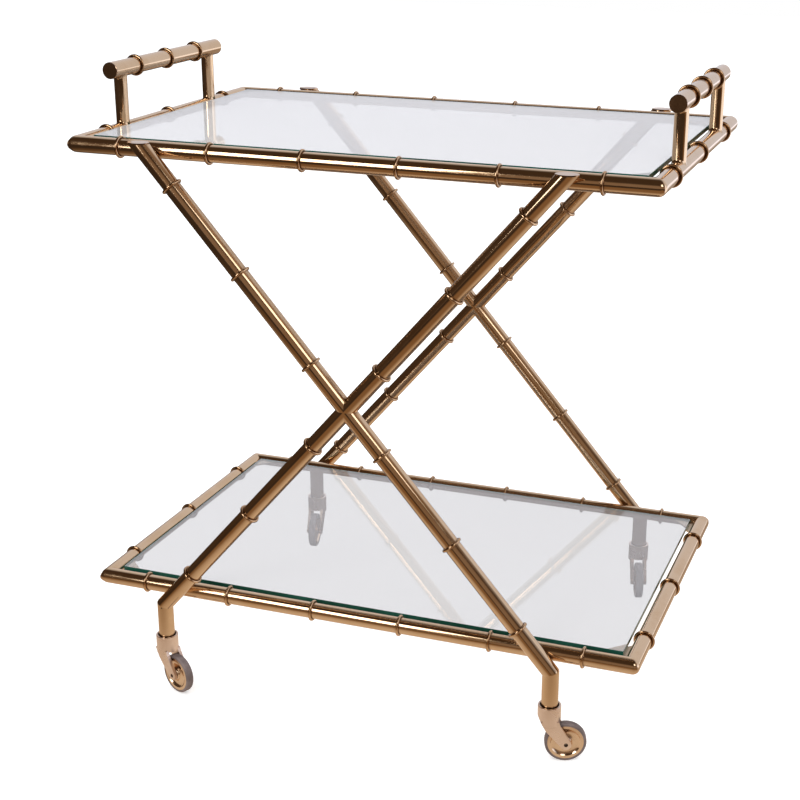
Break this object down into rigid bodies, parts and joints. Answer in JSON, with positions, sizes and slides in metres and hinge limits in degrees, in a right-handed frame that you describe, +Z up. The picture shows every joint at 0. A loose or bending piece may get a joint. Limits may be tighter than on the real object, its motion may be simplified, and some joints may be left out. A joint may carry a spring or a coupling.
{
  "type": "serving trolley",
  "caption": "Serving trolley in polished brass tube with bamboo-style rings, inset glass shelves, crossed legs, a handle at each end and swivel casters.",
  "frame": {"origin": "centre of the trolley on the floor", "axes": "+X to the right-hand handle, +Y to the back, +Z up"},
  "size_m": [0.7142, 0.5075, 0.7761],
  "materials": {
    "polished_brass": "polished drawn tube, lacquered, lightly worn",
    "ring_brass": "polished round wire with darker tarnish beside the tube",
    "cap_brass": "flat polished discs",
    "tab_brass": "satin plate",
    "cast_brass": "pale satin casting, fine pits",
    "wheel_brass": "turned and polished",
    "turned_brass": "turned",
    "axle_steel": "plain ground pin",
    "tyre_rubber": "moulded grey-mauve rubber, slightly scuffed",
    "shelf_glass": "clear float glass with polished green edges"
  },
  "bodies": {
    "frame": {"back_leg_rings": "ring_brass", "back_long_leg": "polished_brass", "back_lower_half_leg": "polished_brass", "back_upper_half_leg": "polished_brass", "foot_stem_back_left": "polished_brass", "foot_stem_back_right": "polished_brass", "foot_stem_front_left": "polished_brass", "foot_stem_front_right": "polished_brass", "front_leg_rings": "ring_brass", "front_long_leg": "polished_brass", "front_lower_half_leg": "polished_brass", "front_upper_half_leg": "polished_brass", "handle_end_caps": "cap_brass", "left_handle_back_post": "polished_brass", "left_handle_bar": "polished_brass", "left_handle_front_post": "polished_brass", "left_handle_rings": "ring_brass", "leg_top_caps": "cap_brass", "lower_back_rail": "polished_brass", "lower_corner_tabs": "tab_brass", "lower_front_rail": "polished_brass", "lower_left_rail": "polished_brass", "lower_rail_rings": "ring_brass", "lower_right_rail": "polished_brass", "right_handle_back_post": "polished_brass", "right_handle_bar": "polished_brass", "right_handle_front_post": "polished_brass", "right_handle_rings": "ring_brass", "swivel_pin_back_left": "turned_brass", "swivel_pin_back_right": "turned_brass", "swivel_pin_front_left": "turned_brass", "swivel_pin_front_right": "turned_brass", "swivel_washers": "turned_brass", "top_back_rail": "polished_brass", "top_corner_tabs": "tab_brass", "top_front_rail": "polished_brass", "top_left_rail": "polished_brass", "top_rail_rings": "ring_brass", "top_right_rail": "polished_brass"},
    "caster_front_left": {"caster_fork_front_left": "cast_brass", "axle_front_left": "axle_steel"},
    "wheel_front_left": {"wheel_front_left": "wheel_brass", "tyre_front_left": "tyre_rubber"},
    "caster_front_right": {"caster_fork_front_right": "cast_brass", "axle_front_right": "axle_steel"},
    "wheel_front_right": {"wheel_front_right": "wheel_brass", "tyre_front_right": "tyre_rubber"},
    "caster_back_left": {"caster_fork_back_left": "cast_brass", "axle_back_left": "axle_steel"},
    "wheel_back_left": {"wheel_back_left": "wheel_brass", "tyre_back_left": "tyre_rubber"},
    "caster_back_right": {"caster_fork_back_right": "cast_brass", "axle_back_right": "axle_steel"},
    "wheel_back_right": {"wheel_back_right": "wheel_brass", "tyre_back_right": "tyre_rubber"},
    "top_shelf": {"top_glass": "shelf_glass"},
    "lower_shelf": {"lower_glass": "shelf_glass"}
  },
  "joints": [
    {"name": "swivel_front_left", "type": "hinge", "parent": "frame", "child": "caster_front_left", "pos_m": [-0.253, -0.2357, 0.058], "axis": [0, 0, 1], "continuous": true},
    {"name": "roll_front_left", "type": "hinge", "parent": "caster_front_left", "child": "wheel_front_left", "pos_m": [-0.23473, -0.24383, 0.025], "axis": [0.4067, 0.9135, 0], "continuous": true},
    {"name": "swivel_front_right", "type": "hinge", "parent": "frame", "child": "caster_front_right", "pos_m": [0.253, -0.2357, 0.058], "axis": [0, 0, 1], "continuous": true},
    {"name": "roll_front_right", "type": "hinge", "parent": "caster_front_right", "child": "wheel_front_right", "pos_m": [0.27179, -0.22886, 0.025], "axis": [-0.342, 0.9397, 0], "continuous": true},
    {"name": "swivel_back_left", "type": "hinge", "parent": "frame", "child": "caster_back_left", "pos_m": [-0.253, 0.2357, 0.058], "axis": [0, 0, 1], "continuous": true},
    {"name": "roll_back_left", "type": "hinge", "parent": "caster_back_left", "child": "wheel_back_left", "pos_m": [-0.24918, 0.21607, 0.025], "axis": [0.9816, 0.1908, 0], "continuous": true},
    {"name": "swivel_back_right", "type": "hinge", "parent": "frame", "child": "caster_back_right", "pos_m": [0.253, 0.2357, 0.058], "axis": [0, 0, 1], "continuous": true},
    {"name": "roll_back_right", "type": "hinge", "parent": "caster_back_right", "child": "wheel_back_right", "pos_m": [0.25918, 0.21668, 0.025], "axis": [0.9511, 0.309, 0], "continuous": true},
    {"name": "top_glass_lift", "type": "slide", "parent": "frame", "child": "top_shelf", "axis": [0, 0, 1], "range_m": [0, 0.1]},
    {"name": "lower_glass_lift", "type": "slide", "parent": "frame", "child": "lower_shelf", "axis": [0, 0, 1], "range_m": [0, 0.1]}
  ]
}
